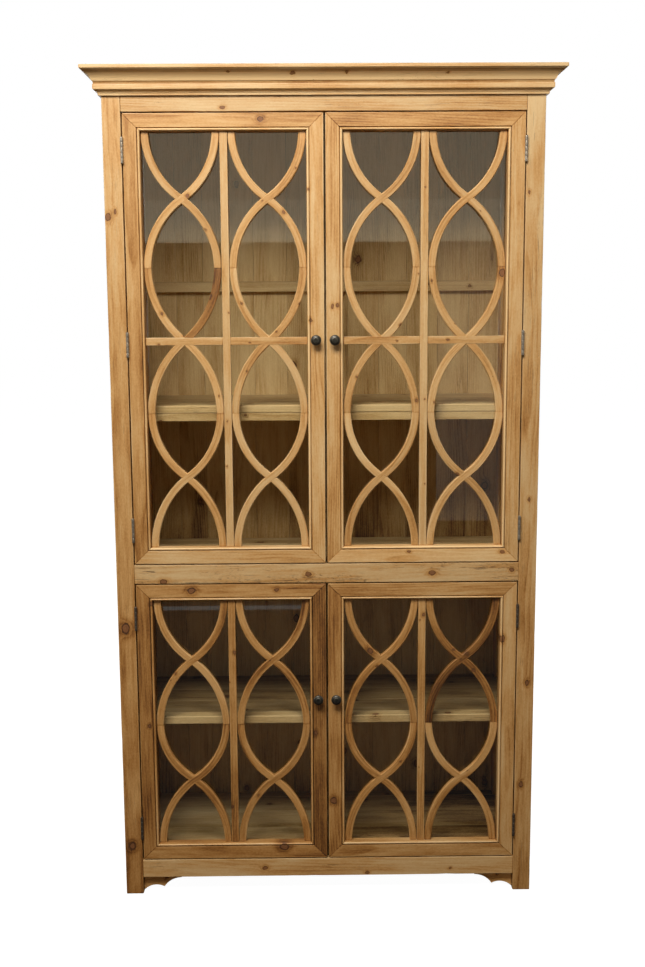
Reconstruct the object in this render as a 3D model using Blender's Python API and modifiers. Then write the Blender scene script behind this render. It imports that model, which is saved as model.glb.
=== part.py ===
"""Pantry cabinet: a tall pine cupboard with two upper and two lower fretwork glass doors.

Metres, +Z up. The front faces -Y and the viewer's left is -X. The origin is on the floor, under the
middle of the whole piece, crown moulding included.
"""
import math

import bmesh
import bpy
from mathutils import Matrix

# Carcass
BODY_WIDTH = 1.200
BODY_DEPTH = 0.450
TOTAL_HEIGHT = 2.362
POST = 0.051            # square corner posts, which run down to the floor as the legs
RAIL_DEPTH = 0.034
TOP_BOARD = 0.018
SIDE_PANEL = 0.018
SIDE_RECESS = 0.006
BACK_BOARD = 0.012
RAIL_TOP_BOTTOM = 2.2467
RAIL_MIDDLE = (0.9434, 0.9985)
RAIL_BOTTOM = (0.0510, 0.1059)
DECK = 0.022
DECK_MIDDLE_TOP = 0.988
DECK_BOTTOM_TOP = 0.128
UPPER_SHELF_TOP = 1.448
UPPER_SHELF = 0.0205
UPPER_SHELF_RAIL = 0.023
LOWER_SHELF_TOP = 0.5293
LOWER_SHELF = 0.023
SHELF_RAIL_DEPTH = 0.020
BACK_RAIL = (1.768, 1.800)
BACK_RAIL_DEPTH = 0.014

# Crown moulding: overhang from the body, and height below its top edge
CROWN_OVERHANG = 0.049
CROWN_HEIGHT = 0.074
FASCIA = 0.0095
COVE_TOP = (0.0430, 0.0140)
COVE_BOTTOM = (0.0195, 0.0398)
COVE_SAG = 0.0035
QUIRK = (0.0155, 0.0402, 0.0462)          # overhang, top and bottom
FILLET = (0.0185, 0.0468, 0.0588)
FILLET_BACK = (0.0160, 0.0608)
SMALL_COVE_TOP = (0.0145, 0.0616)
SMALL_COVE_BOTTOM = (0.0075, 0.0672)
SMALL_COVE_SAG = 0.0014
FOOT_OVERHANG = 0.0065

# Foot brackets: distance from the post, and height above the floor
BRACKET_DEPTH = 0.018
BRACKET_SETBACK = 0.020
BRACKET_TOE = (0.0, 0.002)
BRACKET_APEX = (0.0405, 0.0175)
BRACKET_CUSP = (0.0595, 0.0115)
BRACKET_TIP = (0.1110, 0.0400)

# Doors
DOOR_GAP = 0.003        # to the posts and rails
CENTRE_GAP = 0.005      # between a pair of doors
DOOR_DEPTH = 0.034
MEMBER = 0.047          # width of the mitred frame members
BAR = 0.0215            # width of the glazing bars
LATTICE_SETBACK = 0.009
LATTICE_DEPTH = 0.018
GLASS = 0.003
REBATE = 0.005
UPPER_LEVELS = (2.0175, 1.832, 1.631, 1.430, 1.247)   # crossings and widest points, from the top down
LOWER_LEVELS = (0.711, 0.519, 0.349)
CROSS_BAR_LEVEL = 1.631
KNOB_RADIUS = 0.0148
KNOB_LENGTH = 0.026
KNOB_INSET = 0.026      # from the middle of the cabinet
KNOB_LEVELS = {"upper": 1.633, "lower": 0.600}

# Butt hinges
HINGE_HEIGHT = 0.070
HINGE_INSET = 0.098     # from a door's end to a hinge's middle
BARREL_RADIUS = 0.004
BORE_RADIUS = 0.0021
PIN_RADIUS = 0.0018
AXIS_PROUD = 0.0045     # pin axis in front of the cabinet's face
LEAF = 0.00105
LEAF_DEPTH = 0.0245
LEAF_ROOT = 0.003       # how near the pin axis a leaf reaches under its own knuckles
KNUCKLES = 5
BARREL_SIDES = 12
PIN_SIDES = 8

# General
GAP = 0.0003            # clearance between touching pieces
EASE = 0.001            # eased edges of the boards
STEP = 0.0002           # each crossing bar is thinner than the one over it, on every face
LAP = 0.0005            # how far bars run into each other

FACE_Y = -(BODY_DEPTH - CROWN_OVERHANG) / 2
BACK_Y = FACE_Y + BODY_DEPTH
HALF = BODY_WIDTH / 2
POST_IN = HALF - POST
SIDE_IN = HALF - SIDE_RECESS - SIDE_PANEL
CARCASS_TOP = TOTAL_HEIGHT - TOP_BOARD
BACK_BOARD_Y = BACK_Y - BACK_BOARD
PANEL_FRONT = FACE_Y + POST
PANEL_BACK = BACK_Y - POST
DOOR_OUT = POST_IN - DOOR_GAP
DOOR_IN = CENTRE_GAP / 2
AXIS_X = POST_IN - DOOR_GAP / 2
AXIS_Y = FACE_Y - AXIS_PROUD
DOOR_SPANS = {
    "upper": (RAIL_MIDDLE[1] + DOOR_GAP, RAIL_TOP_BOTTOM - DOOR_GAP),
    "lower": (RAIL_BOTTOM[1] + DOOR_GAP, RAIL_MIDDLE[0] - DOOR_GAP),
}
SIDES = {"left": -1, "right": 1}
TO_XZ = Matrix(((1, 0, 0, 0), (0, 0, -1, 0), (0, 1, 0, 0), (0, 0, 0, 1)))
TO_YZ = Matrix(((0, 0, 1, 0), (1, 0, 0, 0), (0, 1, 0, 0), (0, 0, 0, 1)))


def clear_scene():
    for obj in list(bpy.data.objects):
        bpy.data.objects.remove(obj)


def new_collection(name):
    collection = bpy.data.collections.new(name)
    bpy.context.scene.collection.children.link(collection)
    return collection


def material(name, colour, roughness, metallic=0.0):
    made = bpy.data.materials.new(name)
    made.use_nodes = True
    shader = made.node_tree.nodes["Principled BSDF"]
    shader.inputs["Base Color"].default_value = (*colour, 1.0)
    shader.inputs["Roughness"].default_value = roughness
    shader.inputs["Metallic"].default_value = metallic
    return made


def glass_material():
    made = material("cabinet_glass", (0.90, 0.94, 0.92), 0.03)
    made.node_tree.nodes["Principled BSDF"].inputs["Transmission Weight"].default_value = 1.0
    return made


clear_scene()
PARTS = new_collection("pantry_cabinet")
CUTTERS = new_collection("cutters")
PINE = material("old_pine", (0.60, 0.38, 0.17), 0.55)
PINE_INSIDE = material("inside_pine", (0.42, 0.29, 0.14), 0.65)
BRONZE = material("dark_bronze", (0.07, 0.065, 0.055), 0.45, 0.9)
STEEL = material("aged_steel", (0.22, 0.19, 0.15), 0.5, 0.9)
CLEAR = glass_material()


def place(name, mesh, finish, location=(0, 0, 0), parent=None):
    """Put a mesh in the model as one named part."""
    obj = bpy.data.objects.new(name, mesh)
    PARTS.objects.link(obj)
    if not mesh.materials:
        mesh.materials.append(finish)
    obj.location = location
    if parent:
        obj.parent = parent
        obj.matrix_parent_inverse = Matrix.Translation(parent.location).inverted()
    return obj


def weld(mesh):
    """Close the seams of a mesh and turn its faces outwards."""
    shape = bmesh.new()
    shape.from_mesh(mesh)
    bmesh.ops.remove_doubles(shape, verts=shape.verts, dist=1e-6)
    bmesh.ops.recalc_face_normals(shape, faces=shape.faces)
    if shape.calc_volume(signed=True) < 0:
        bmesh.ops.reverse_faces(shape, faces=shape.faces)
    shape.to_mesh(mesh)
    shape.free()


def evaluated_mesh(obj):
    graph = bpy.context.evaluated_depsgraph_get()
    return bpy.data.meshes.new_from_object(obj.evaluated_get(graph), depsgraph=graph)


def flat_mesh(name, outlines, thickness, turn=Matrix.Identity(4)):
    """A plate cut to closed outlines; an outline inside another is a hole."""
    curve = bpy.data.curves.new(name, "CURVE")
    curve.dimensions = "2D"
    curve.fill_mode = "BOTH"
    curve.extrude = thickness / 2
    for outline in outlines:
        spline = curve.splines.new("POLY")
        spline.points.add(len(outline) - 1)
        for point, (u, v) in zip(spline.points, outline):
            point.co = (u, v, 0.0, 1.0)
        spline.use_cyclic_u = True
    shape = bpy.data.objects.new(name, curve)
    CUTTERS.objects.link(shape)
    mesh = evaluated_mesh(shape)
    bpy.data.objects.remove(shape)
    mesh.name = name
    mesh.transform(turn)
    weld(mesh)
    return mesh


def box_mesh(name, size):
    shape = bmesh.new()
    bmesh.ops.create_cube(shape, size=1.0, matrix=Matrix.Diagonal((*size, 1.0)))
    mesh = bpy.data.meshes.new(name)
    shape.to_mesh(mesh)
    shape.free()
    return mesh


def board(name, low, high, finish=PINE, parent=None, ease=EASE):
    """A straight piece between two opposite corners, with eased edges."""
    size = [b - a for a, b in zip(low, high)]
    middle = [(a + b) / 2 for a, b in zip(low, high)]
    obj = place(name, box_mesh(name, size), finish, middle, parent)
    if ease:
        bevel = obj.modifiers.new("eased_edges", "BEVEL")
        bevel.width = ease
        bevel.segments = 1
    return obj


def union(name, meshes):
    """One mesh of all the given meshes, which overlap."""
    helpers = [bpy.data.objects.new(name, mesh) for mesh in meshes]
    others = new_collection(name + "_pieces")
    CUTTERS.objects.link(helpers[0])
    for helper in helpers[1:]:
        others.objects.link(helper)
    joint = helpers[0].modifiers.new("join", "BOOLEAN")
    joint.operation = "UNION"
    joint.solver = "EXACT"
    joint.operand_type = "COLLECTION"
    joint.collection = others
    mesh = evaluated_mesh(helpers[0])
    for helper in helpers:
        bpy.data.objects.remove(helper)
    bpy.data.collections.remove(others)
    mesh.name = name
    return mesh


def rectangle(x0, x1, z0, z1):
    return [(x0, z0), (x1, z0), (x1, z1), (x0, z1)]


def circle(radius, sides):
    return [(radius * math.cos(2 * math.pi * i / sides), radius * math.sin(2 * math.pi * i / sides))
            for i in range(sides)]


def arc(centre, radius, start, end, steps):
    """Points along an arc, with its angles in radians from +u."""
    angles = [start + (end - start) * i / steps for i in range(steps + 1)]
    return [(centre[0] + radius * math.cos(a), centre[1] + radius * math.sin(a)) for a in angles]


def arc_through(first, middle, last, steps):
    """Points along the arc through three points."""
    (ax, ay), (bx, by), (cx, cy) = first, middle, last
    d = 2 * (ax * (by - cy) + bx * (cy - ay) + cx * (ay - by))
    a2, b2, c2 = ax * ax + ay * ay, bx * bx + by * by, cx * cx + cy * cy
    centre = ((a2 * (by - cy) + b2 * (cy - ay) + c2 * (ay - by)) / d,
              (a2 * (cx - bx) + b2 * (ax - cx) + c2 * (bx - ax)) / d)
    radius = math.dist(centre, first)
    start = math.atan2(ay - centre[1], ax - centre[0])
    end = math.atan2(cy - centre[1], cx - centre[0])
    return arc(centre, radius, start, end, steps)


# ---- Carcass ----

def posts():
    for side, sign in SIDES.items():
        inner, outer = sorted((sign * POST_IN, sign * HALF))
        board("front_post_" + side, (inner, FACE_Y, 0), (outer, PANEL_FRONT, CARCASS_TOP - GAP))
        board("rear_post_" + side, (inner, PANEL_BACK, 0), (outer, BACK_Y, CARCASS_TOP - GAP))


def side_panels():
    for side, sign in SIDES.items():
        inner, outer = sorted((sign * SIDE_IN, sign * (SIDE_IN + SIDE_PANEL)))
        board("side_panel_" + side, (inner, PANEL_FRONT + GAP, RAIL_BOTTOM[0]),
              (outer, PANEL_BACK - GAP, CARCASS_TOP - GAP))


def face_rails():
    levels = {"top": (RAIL_TOP_BOTTOM, CARCASS_TOP - GAP), "middle": RAIL_MIDDLE, "bottom": RAIL_BOTTOM}
    reach = POST_IN - GAP
    for place_name, (bottom, top) in levels.items():
        board("face_rail_" + place_name, (-reach, FACE_Y, bottom), (reach, FACE_Y + RAIL_DEPTH, top))


def horizontal_board(name, front, top, thickness):
    """A deck or shelf that is cut out around the corner posts and reaches the back boards."""
    narrow = POST_IN - GAP
    wide = SIDE_IN - GAP
    back = BACK_BOARD_Y - GAP
    rear_notch = PANEL_BACK - GAP
    half = [(narrow, back), (narrow, rear_notch), (wide, rear_notch)]
    front_notch = PANEL_FRONT + GAP
    if front < front_notch:
        half += [(wide, front_notch), (narrow, front_notch), (narrow, front)]
    else:
        half += [(wide, front)]
    outline = half + [(-x, y) for x, y in reversed(half)]
    mesh = flat_mesh(name, [outline], thickness)
    place(name, mesh, PINE_INSIDE, (0, 0, top - thickness / 2))


def decks_and_shelves():
    deck_front = FACE_Y + RAIL_DEPTH + GAP
    shelf_front = PANEL_FRONT + GAP + STEP
    horizontal_board("deck_middle", deck_front, DECK_MIDDLE_TOP, DECK)
    horizontal_board("deck_bottom", deck_front, DECK_BOTTOM_TOP, DECK)
    horizontal_board("upper_shelf", shelf_front, UPPER_SHELF_TOP, UPPER_SHELF)
    horizontal_board("lower_shelf", shelf_front, LOWER_SHELF_TOP, LOWER_SHELF)
    reach = SIDE_IN - GAP
    rail_top = UPPER_SHELF_TOP - UPPER_SHELF - GAP
    board("upper_shelf_rail", (-reach, shelf_front, rail_top - UPPER_SHELF_RAIL),
          (reach, shelf_front + SHELF_RAIL_DEPTH, rail_top), PINE_INSIDE)


def back():
    reach = POST_IN - GAP
    seam = DECK_MIDDLE_TOP - DECK / 2
    board("back_boards_upper", (-reach, BACK_BOARD_Y, seam + GAP),
          (reach, BACK_Y - EASE, CARCASS_TOP - GAP), PINE_INSIDE)
    board("back_boards_lower", (-reach, BACK_BOARD_Y, RAIL_BOTTOM[0]), (reach, BACK_Y - EASE, seam),
          PINE_INSIDE)
    rail_back = BACK_BOARD_Y - GAP
    board("back_rail", (-reach, rail_back - BACK_RAIL_DEPTH, BACK_RAIL[0]),
          (reach, rail_back, BACK_RAIL[1]), PINE_INSIDE)


def top():
    board("top_board", (-HALF, FACE_Y, CARCASS_TOP), (HALF, BACK_Y, TOTAL_HEIGHT))


def hollow(first, last, sag, steps):
    """Points along a concave arc between two points of the moulding's section."""
    run, drop = first[0] - last[0], last[1] - first[1]
    chord = math.hypot(run, drop)
    deepest = ((first[0] + last[0]) / 2 - sag * drop / chord, (first[1] + last[1]) / 2 - sag * run / chord)
    return arc_through(first, deepest, last, steps)


def crown_profile():
    """The moulding's section as (overhang, drop below its top), from its top edge down to its back."""
    fascia = [(GAP, 0.0), (CROWN_OVERHANG, 0.0), (CROWN_OVERHANG, FASCIA)]
    quirk = [(QUIRK[0], QUIRK[1]), (QUIRK[0], QUIRK[2])]
    fillet = [(FILLET[0], FILLET[1]), (FILLET[0], FILLET[2]), FILLET_BACK]
    foot = [(FOOT_OVERHANG, CROWN_HEIGHT), (GAP, CROWN_HEIGHT)]
    return (fascia + hollow(COVE_TOP, COVE_BOTTOM, COVE_SAG, 6) + quirk + fillet
            + hollow(SMALL_COVE_TOP, SMALL_COVE_BOTTOM, SMALL_COVE_SAG, 4) + foot)


def crown():
    """Three lengths of one moulding, mitred where they meet at the front corners."""
    section = [(overhang, TOTAL_HEIGHT - drop) for overhang, drop in crown_profile()]
    front = flat_mesh("crown_front", [[(FACE_Y - o, z) for o, z in section]], BODY_WIDTH, TO_YZ)
    for vertex in front.vertices:
        reach = HALF + FACE_Y - vertex.co.y - GAP
        vertex.co.x = math.copysign(reach, vertex.co.x)
    place("crown_front", front, PINE)
    for side, sign in SIDES.items():
        outline = [(sign * (HALF + o), z) for o, z in section]
        mesh = flat_mesh("crown_" + side, [outline], BODY_DEPTH, TO_XZ)
        for vertex in mesh.vertices:
            overhang = abs(vertex.co.x) - HALF
            vertex.co.y = FACE_Y - overhang + GAP if vertex.co.y < 0 else BACK_Y
        place("crown_" + side, mesh, PINE)


def foot_brackets():
    """Scalloped brackets in the corners under the bottom rail."""
    first = arc_through(BRACKET_TOE, BRACKET_APEX, BRACKET_CUSP, 8)
    width = BRACKET_TIP[0] - BRACKET_CUSP[0]
    rise = BRACKET_TIP[1] - BRACKET_CUSP[1]
    radius = (width * width + rise * rise) / (2 * rise)
    centre = (BRACKET_TIP[0], BRACKET_TIP[1] - radius)
    start = math.pi - math.asin((radius - rise) / radius)
    second = arc(centre, radius, start, math.pi / 2, 8)
    ceiling = RAIL_BOTTOM[0] - GAP
    outline = first + second[1:] + [(BRACKET_TIP[0], ceiling), (0.0, ceiling)]
    for side, sign in SIDES.items():
        inner = [(sign * (POST_IN - GAP - u), z) for u, z in outline]
        mesh = flat_mesh("foot_bracket_" + side, [inner], BRACKET_DEPTH, TO_XZ)
        place("foot_bracket_" + side, mesh, PINE, (0, FACE_Y + BRACKET_SETBACK + BRACKET_DEPTH / 2, 0))


# ---- Doors ----

def sway(side, amplitude, start, crossing, end, steps=7):
    """Centre line of a bar that starts on one side, crosses the middle and ends on the other side."""
    points = []
    for sign, level, height in ((side, start, start - crossing), (-side, end, end - crossing)):
        radius = (height * height + amplitude * amplitude) / (2 * amplitude)
        sweep = math.asin(abs(height) / radius)
        half = []
        for i in range(steps + 1):
            angle = sweep * i / steps
            half.append((sign * (amplitude - radius + radius * math.cos(angle)),
                         level - math.copysign(radius * math.sin(angle), height)))
        points += half if sign == side else half[-2::-1]
    return points


def ribbon(centre_line, width):
    """Outline of a strip along a centre line whose ends stand upright."""
    left, right = [], []
    last = len(centre_line) - 1
    for i, (x, z) in enumerate(centre_line):
        before, after = centre_line[max(i - 1, 0)], centre_line[min(i + 1, last)]
        along = (after[0] - before[0], after[1] - before[1]) if 0 < i < last else (0.0, -1.0)
        length = math.hypot(*along)
        out = (-along[1] / length * width / 2, along[0] / length * width / 2)
        left.append((x + out[0], z + out[1]))
        right.append((x - out[0], z - out[1]))
    return left + right[::-1]


def lattice_mesh(name, x0, x1, z0, z1, levels, cross_bar):
    """Fretwork of one door: a mullion, pairs of crossing bars on each side of it, and a cross bar."""
    middle = (x0 + x1) / 2
    thickness = LATTICE_DEPTH
    pieces = [flat_mesh(name, [rectangle(middle - BAR / 2, middle + BAR / 2, z0, z1)], thickness, TO_XZ)]
    if cross_bar:
        half = BAR / 2
        thickness -= 2 * STEP
        outline = rectangle(x0, x1, cross_bar - half, cross_bar + half)
        pieces.append(flat_mesh(name, [outline], thickness, TO_XZ))
    stations = [z1 - STEP, *levels, z0 + STEP]
    width = BAR
    for lean in (1, -1):
        thickness -= 2 * STEP
        width -= 2 * STEP
        for column_left, column_right in ((x0, middle - BAR / 2 + LAP), (middle + BAR / 2 - LAP, x1)):
            centre = (column_left + column_right) / 2
            amplitude = (column_right - column_left - BAR) / 2
            for i in range(0, len(stations) - 2, 2):
                start, crossing, end = stations[i:i + 3]
                line = sway(lean, amplitude, start, crossing, end)
                if i > 0:
                    line[0] = (line[0][0], start + LAP)
                if i < len(stations) - 3:
                    line[-1] = (line[-1][0], end - LAP)
                outline = [(centre + x, z) for x, z in ribbon(line, width)]
                pieces.append(flat_mesh(name, [outline], thickness, TO_XZ))
    return union(name, pieces)


def door_frame(name, x0, x1, z0, z1, axis):
    """A mitred frame, rebated behind for its glass."""
    hole = (x0 + MEMBER, x1 - MEMBER, z0 + MEMBER, z1 - MEMBER)
    mesh = flat_mesh(name, [rectangle(x0, x1, z0, z1), rectangle(*hole)], DOOR_DEPTH, TO_XZ)
    frame = place(name, mesh, PINE, (0, FACE_Y + DOOR_DEPTH / 2, 0), axis)
    rebate_depth = DOOR_DEPTH - LATTICE_SETBACK - LATTICE_DEPTH
    size = (hole[1] - hole[0] + 2 * REBATE, 2 * rebate_depth, hole[3] - hole[2] + 2 * REBATE)
    cutter = bpy.data.objects.new(name + "_rebate", box_mesh(name + "_rebate", size))
    cutter.location = ((hole[0] + hole[1]) / 2, FACE_Y + DOOR_DEPTH, (hole[2] + hole[3]) / 2)
    cutter.hide_render = True
    cutter.display_type = "WIRE"
    CUTTERS.objects.link(cutter)
    cut = frame.modifiers.new("glass_rebate", "BOOLEAN")
    cut.operation = "DIFFERENCE"
    cut.solver = "EXACT"
    cut.object = cutter
    return hole


def knob_mesh():
    """A turned mushroom knob on a short neck, with a flat disc in the middle of its face."""
    profile = [(0.0, KNOB_LENGTH), (0.0085, KNOB_LENGTH), (0.0098, KNOB_LENGTH - 0.0012),
               (0.0138, KNOB_LENGTH - 0.0040), (KNOB_RADIUS, KNOB_LENGTH - 0.0070),
               (0.0138, KNOB_LENGTH - 0.0100), (0.0075, KNOB_LENGTH - 0.0130), (0.0060, 0.0080),
               (0.0085, 0.0025), (0.0092, 0.0), (0.0, 0.0)]
    mesh = bpy.data.meshes.new("knob_profile")
    points = [(radius, 0.0, height) for radius, height in profile]
    mesh.from_pydata(points, [(i, i + 1) for i in range(len(points) - 1)], [])
    turned = bpy.data.objects.new("knob_profile", mesh)
    CUTTERS.objects.link(turned)
    screw = turned.modifiers.new("turn", "SCREW")
    screw.steps = 16
    screw.render_steps = 16
    screw.use_merge_vertices = True
    screw.merge_threshold = 0.00001
    knob = evaluated_mesh(turned)
    bpy.data.objects.remove(turned)
    knob.name = "knob"
    knob.transform(Matrix.Rotation(math.radians(90), 4, "X"))
    weld(knob)
    knob.shade_smooth()
    knob.set_sharp_from_angle(angle=math.radians(35))
    return knob


def hinge_leaf(sign, owns_pin):
    """Half a butt hinge about its pin axis: a comb-shaped leaf with its knuckles, and the fixed pin."""
    pitch = HINGE_HEIGHT / KNUCKLES
    half_height = HINGE_HEIGHT / 2
    comb = [(LEAF_DEPTH, -half_height), (LEAF_DEPTH, half_height)]
    middles = []
    for i in range(KNUCKLES):
        high = half_height - i * pitch
        own = (i % 2 == 0) == owns_pin
        edge = LEAF_ROOT if own else AXIS_PROUD + STEP
        trim = 0.5 * GAP if own else -0.5 * GAP
        upper = high - (trim if i > 0 else 0.0)
        lower = high - pitch + (trim if i < KNUCKLES - 1 else 0.0)
        comb += [(edge, upper), (edge, lower)]
        if own:
            middles.append(high - pitch / 2)
    leaf_x = (0.5 * GAP + LEAF / 2) * (sign if owns_pin else -sign)
    leaf = flat_mesh("hinge_leaf", [comb], LEAF, Matrix.Translation((leaf_x, 0, 0)) @ TO_YZ)
    rings = [circle(BARREL_RADIUS, BARREL_SIDES)]
    if not owns_pin:
        rings.append(circle(BORE_RADIUS, PIN_SIDES))
    pieces = [leaf]
    for middle in middles:
        pieces.append(flat_mesh("knuckle", rings, pitch - GAP, Matrix.Translation((0, 0, middle))))
    if owns_pin:
        pieces.append(flat_mesh("pin", [circle(PIN_RADIUS, PIN_SIDES)], HINGE_HEIGHT - pitch))
    return union("hinge_leaf", pieces)


def hinges(tier, side, span, axis):
    sign = SIDES[side]
    low, high = span[0] + HINGE_INSET, span[1] - HINGE_INSET
    levels = {"top": high, "bottom": low}
    if tier == "upper":
        levels["middle"] = (low + high) / 2
    for level_name, level in levels.items():
        where = (sign * AXIS_X, AXIS_Y, level)
        label = "_".join((tier, side, level_name))
        place("hinge_fixed_leaf_" + label, LEAVES[side, True], STEEL, where)
        place("hinge_door_leaf_" + label, LEAVES[side, False], STEEL, where, axis)


def door(tier, side):
    sign = SIDES[side]
    z0, z1 = DOOR_SPANS[tier]
    x0, x1 = sorted((sign * DOOR_IN, sign * DOOR_OUT))
    name = "_".join(("door", tier, side))
    axis = bpy.data.objects.new(name + "_axis", None)
    axis.location = (sign * AXIS_X, AXIS_Y, (z0 + z1) / 2)
    PARTS.objects.link(axis)
    hx0, hx1, hz0, hz1 = door_frame(name + "_frame", x0, x1, z0, z1, axis)
    levels = UPPER_LEVELS if tier == "upper" else LOWER_LEVELS
    cross_bar = CROSS_BAR_LEVEL if tier == "upper" else None
    lattice = lattice_mesh(name + "_lattice", hx0 + GAP, hx1 - GAP, hz0 + GAP, hz1 - GAP, levels, cross_bar)
    place(name + "_lattice", lattice, PINE, (0, FACE_Y + LATTICE_SETBACK + LATTICE_DEPTH / 2, 0), axis)
    margin = REBATE - GAP
    glass_front = FACE_Y + LATTICE_SETBACK + LATTICE_DEPTH + GAP
    board(name + "_glass", (hx0 - margin, glass_front, hz0 - margin),
          (hx1 + margin, glass_front + GLASS, hz1 + margin), CLEAR, axis, 0)
    place(name + "_knob", KNOB, BRONZE, (sign * KNOB_INSET, FACE_Y - GAP, KNOB_LEVELS[tier]), axis)
    hinges(tier, side, (z0, z1), axis)


KNOB = knob_mesh()
LEAVES = {(side, owns_pin): hinge_leaf(sign, owns_pin)
          for side, sign in SIDES.items() for owns_pin in (True, False)}

posts()
side_panels()
face_rails()
decks_and_shelves()
back()
top()
crown()
foot_brackets()
for tier_name in DOOR_SPANS:
    for side_name in SIDES:
        door(tier_name, side_name)
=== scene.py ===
import math
import random
from itertools import accumulate

import bmesh
import bpy
from mathutils import Matrix, Vector, noise


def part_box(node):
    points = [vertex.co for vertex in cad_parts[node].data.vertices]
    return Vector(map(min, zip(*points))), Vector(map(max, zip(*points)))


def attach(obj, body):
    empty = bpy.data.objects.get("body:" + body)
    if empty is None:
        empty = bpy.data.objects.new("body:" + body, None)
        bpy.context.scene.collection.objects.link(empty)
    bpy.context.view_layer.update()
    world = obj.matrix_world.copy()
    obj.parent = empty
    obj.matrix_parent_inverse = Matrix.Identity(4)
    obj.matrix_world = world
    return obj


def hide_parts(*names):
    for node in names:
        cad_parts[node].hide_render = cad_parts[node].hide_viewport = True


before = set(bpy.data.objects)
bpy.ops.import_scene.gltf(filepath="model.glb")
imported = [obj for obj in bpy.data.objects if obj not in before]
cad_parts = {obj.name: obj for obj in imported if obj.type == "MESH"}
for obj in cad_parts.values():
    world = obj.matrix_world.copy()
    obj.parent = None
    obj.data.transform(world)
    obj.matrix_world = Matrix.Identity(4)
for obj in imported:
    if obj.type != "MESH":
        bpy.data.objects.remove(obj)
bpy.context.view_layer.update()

# ---- Sizes of the real piece, in metres ----

MEMBER = 0.047           # width of a door frame's members
REBATE = 0.005           # how far the glass reaches behind them
BAR = 0.0215             # width of the fretwork bars
UPPER_LEVELS = (2.0175, 1.832, 1.631, 1.430, 1.247)    # where the fretwork's curves cross or turn
LOWER_LEVELS = (0.711, 0.519, 0.349)
CROSS_BAR_LEVEL = 1.631
CURVE_STEPS = 14         # along each half of a curved bar
HALVING = (0.0007, 0.0011)   # how far the front and the rear bars of a crossing are sunk
KNUCKLES = 5             # of a hinge
KNUCKLE_RADIUS = 0.0040
LEAF = 0.00105           # thickness of a hinge's leaf
PIN_PROUD = 0.0045       # hinge pins stand this far in front of the face,
PIN_INSET = 0.0015       # and this far inside the edge of the post
FITTING = 0.0003         # clearance between neighbouring pieces
RAIL_LAP = 0.009         # the bottom rail reaches this far back under the deck
MEETING_LIP = 0.0017     # the meeting members' rear part stands this far into the gap
LIPPING = 0.040          # depth of the strip along a shelf's front edge

KNOT_SLOTS = 4           # knots that a board can store
RINGS = 215.0            # growth rings per metre

# A point of a section may be marked: in a groove, with painted shade; on a crest, rubbed and with a
# painted highlight; in a hollow, with painted light; or in a slot, with painted shade near black.
# Unmarked points store their distance to a joint.
GROOVE_SHADE = 0.0
CREST_HIGHLIGHT = -1.0
PAINTED_LIT_HOLLOW = -2.0
SLOT_SHADE = -3.0
MARK_PAINTED_LIGHT = {GROOVE_SHADE: 0.80, CREST_HIGHLIGHT: 1.13, PAINTED_LIT_HOLLOW: 1.42, SLOT_SHADE: 0.10}
MARK_REACH = 0.0022      # a marked corner shows this far on either side of it

X = Vector((1, 0, 0))
Y = Vector((0, 1, 0))
Z = Vector((0, 0, 1))
SIDES = {"left": -1, "right": 1}


# ---- Node graphs ----

class Graph:
    """Builds a material's nodes with short calls."""

    def __init__(self, name):
        self.material = bpy.data.materials.new(name)
        self.material.use_nodes = True
        self.tree = self.material.node_tree
        self.tree.nodes.clear()

    def node(self, kind, inputs=None, **settings):
        made = self.tree.nodes.new("ShaderNode" + kind)
        for key, value in settings.items():
            setattr(made, key, value)
        for key, value in (inputs or {}).items():
            if isinstance(value, bpy.types.NodeSocket):
                self.tree.links.new(value, made.inputs[key])
            else:
                made.inputs[key].default_value = value
        return made

    def attribute(self, name, output="Vector"):
        return self.node("Attribute", attribute_name=name).outputs[output]

    def math(self, operation, a, b=0.0, c=0.0, clamp=False):
        made = self.node("Math", {0: a, 1: b, 2: c}, operation=operation, use_clamp=clamp)
        return made.outputs[0]

    def times(self, a, b, clamp=False):
        return self.math("MULTIPLY", a, b, clamp=clamp)

    def plus(self, total, value, strength, middle=0.0):
        """Adds value, counted from middle, times strength."""
        value = self.math("SUBTRACT", value, middle) if middle else value
        return self.math("MULTIPLY_ADD", value, strength, total)

    def vector(self, operation, a, b=(0, 0, 0), c=(0, 0, 0)):
        made = self.node("VectorMath", {0: a, 1: b, 2: c}, operation=operation)
        return made.outputs["Value" if operation == "LENGTH" else "Vector"]

    def split(self, vector):
        return self.node("SeparateXYZ", {0: vector}).outputs

    def noise(self, vector, detail=2.0, roughness=0.5, scale=1.0, output="Fac"):
        return self.node("TexNoise", {"Vector": vector, "Scale": scale, "Detail": detail,
                                      "Roughness": roughness}).outputs[output]

    def span(self, value, low, high, to_low=0.0, to_high=1.0):
        """An eased step: to_low at low, to_high at high."""
        made = self.node("MapRange", {"Value": value, "From Min": low, "From Max": high,
                                      "To Min": to_low, "To Max": to_high})
        made.interpolation_type = "SMOOTHSTEP"
        return made.outputs["Result"]

    def ramp(self, value, stops):
        """A colour ramp. A stop is a position with a colour, or with a grey level."""
        made = self.node("ValToRGB", {"Fac": value})
        elements = made.color_ramp.elements
        while len(elements) < len(stops):
            elements.new(0.5)
        for element, (position, colour) in zip(elements, stops):
            element.position = position
            element.color = (*(colour if isinstance(colour, tuple) else (colour,) * 3), 1.0)
        return made.outputs["Color"]

    def mix(self, factor, a, b, blend="MIX"):
        """Mixes two colours, each a socket or three numbers."""
        a, b = ((*value, 1.0) if isinstance(value, tuple) else value for value in (a, b))
        made = self.node("Mix", {0: factor, 6: a, 7: b}, data_type="RGBA", blend_type=blend)
        return made.outputs[2]

    def principled(self, inputs):
        shader = self.node("BsdfPrincipled", inputs)
        self.output(shader.outputs[0])
        return self.material

    def output(self, shader):
        self.node("OutputMaterial", {"Surface": shader})


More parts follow.
